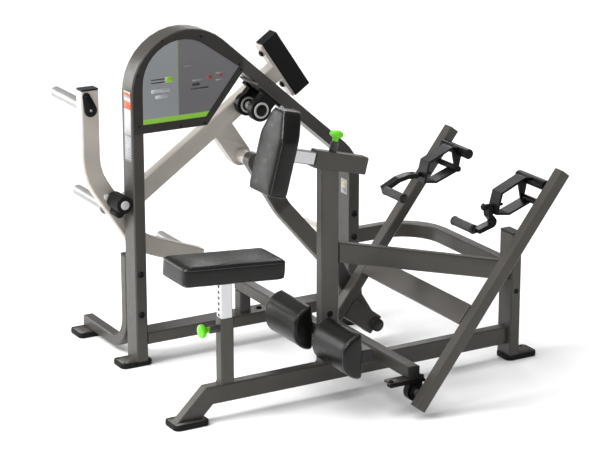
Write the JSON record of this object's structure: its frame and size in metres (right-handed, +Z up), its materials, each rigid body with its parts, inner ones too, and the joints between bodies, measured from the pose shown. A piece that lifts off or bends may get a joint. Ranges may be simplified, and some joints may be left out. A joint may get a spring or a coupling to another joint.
{
  "type": "plate-loaded lever row machine",
  "caption": "Seated lever row: padded seat and chest pad on a steel base, two pull arms on a floor yoke, and a linked weight rocker hung in a side arch.",
  "frame": {"origin": "on the floor, at the middle of the seat foot", "axes": "+X the way the user faces, from the seat to the front column; +Y the user's left, the side with the weight rocker; +Z up"},
  "size_m": [1.769, 1.679, 1.4539],
  "materials": {
    "frame_paint": "satin",
    "silver_paint": "satin",
    "chrome": "polished",
    "vinyl": "grained",
    "rubber": "matt",
    "black_plastic": "matt",
    "black_iron": "painted matt",
    "black_steel": "satin black",
    "green_plastic": "glossy",
    "shroud_plastic": "textured",
    "placard": "printed"
  },
  "bodies": {
    "frame": {"chest_sleeve": "frame_paint", "column": "frame_paint", "crossbar": "frame_paint", "far_arm_bearing": "black_iron", "far_crossbar_cap": "black_plastic", "far_foot_pad": "vinyl", "far_mid_rail": "frame_paint", "far_rocker_bearing": "black_iron", "foot_rest_cap": "black_plastic", "foot_rest_post": "frame_paint", "foot_rest_tube": "frame_paint", "front_column": "frame_paint", "front_column_cap": "black_plastic", "front_foot": "rubber", "leg_foot": "rubber", "main_arch": "frame_paint", "near_arm_bearing": "black_iron", "near_crossbar_cap": "black_plastic", "near_foot_pad": "vinyl", "near_mid_rail": "frame_paint", "near_rocker_bearing": "black_iron", "outrigger": "frame_paint", "outrigger_cap": "black_plastic", "outrigger_foot": "rubber", "rocker_bracket": "frame_paint", "seat_base": "frame_paint", "seat_foot": "rubber", "seat_sleeve": "frame_paint", "shroud_panel": "shroud_plastic", "shroud_placard": "placard", "side_base_tube": "frame_paint", "storage_horn": "silver_paint", "upright_foot": "rubber"},
    "arms": {"near_arm": "frame_paint", "far_arm": "frame_paint", "yoke_tube": "frame_paint", "link_bracket": "frame_paint", "near_handle_strap": "black_steel", "far_handle_strap": "black_steel"},
    "link": {"link": "frame_paint"},
    "rocker": {"rocker_beam": "silver_paint", "plate_carrier": "silver_paint", "carrier_cap": "black_plastic", "plate_horn_1": "silver_paint", "plate_horn_2": "silver_paint", "plate_horn_3": "silver_paint", "counterweight": "black_iron", "bumper": "rubber", "rocker_shaft": "silver_paint", "link_pin": "silver_paint"},
    "seat": {"seat_post": "chrome", "seat_cushion": "vinyl"},
    "chest": {"chest_slide": "chrome", "chest_pad": "vinyl"},
    "seat_pin": {"seat_knob": "green_plastic"},
    "chest_pin": {"chest_knob": "green_plastic"},
    "near_swivel": {"near_handle": "black_steel", "near_grip": "rubber"},
    "far_swivel": {"far_handle": "black_steel", "far_grip": "rubber"}
  },
  "joints": [
    {"name": "arms_pull", "type": "hinge", "parent": "frame", "child": "arms", "pos_m": [0.8635, 0, 0.093], "axis": [0, -1, 0], "range_deg": [0, 30]},
    {"name": "rocker_turn", "type": "hinge", "parent": "frame", "child": "rocker", "pos_m": [0.7015, 0.826, 1.073], "axis": [0, 1, 0], "range_deg": [0, 40.5]},
    {"name": "link_swing", "type": "hinge", "parent": "rocker", "child": "link", "pos_m": [0.6855, 0.688, 0.842], "axis": [0, 1, 0], "range_deg": [-50, 0]},
    {"name": "seat_height", "type": "slide", "parent": "frame", "child": "seat", "axis": [0, 0, 1], "range_m": [-0.1, 0.08]},
    {"name": "chest_reach", "type": "slide", "parent": "frame", "child": "chest", "axis": [-0.9677, 0, 0.2521], "range_m": [-0.08, 0.1]},
    {"name": "seat_pin_pull", "type": "slide", "parent": "frame", "child": "seat_pin", "axis": [-1, 0, 0], "range_m": [0, 0.01], "stiffness_N_per_m": 1200, "springref_m": -0.004},
    {"name": "chest_pin_pull", "type": "slide", "parent": "frame", "child": "chest_pin", "axis": [0.2521, 0, 0.9677], "range_m": [0, 0.01], "stiffness_N_per_m": 1200, "springref_m": -0.006},
    {"name": "near_handle_swivel", "type": "hinge", "parent": "arms", "child": "near_swivel", "pos_m": [1.2555, -0.272, 0.8], "axis": [1, 0, 0], "range_deg": [-15, 15]},
    {"name": "far_handle_swivel", "type": "hinge", "parent": "arms", "child": "far_swivel", "pos_m": [1.2555, 0.272, 0.8], "axis": [-1, 0, 0], "range_deg": [-15, 15]}
  ],
  "couplings": [
    {"joint": "rocker_turn", "follows": "arms_pull", "ratio": 1.35},
    {"joint": "link_swing", "follows": "arms_pull", "ratio": -1.666}
  ]
}
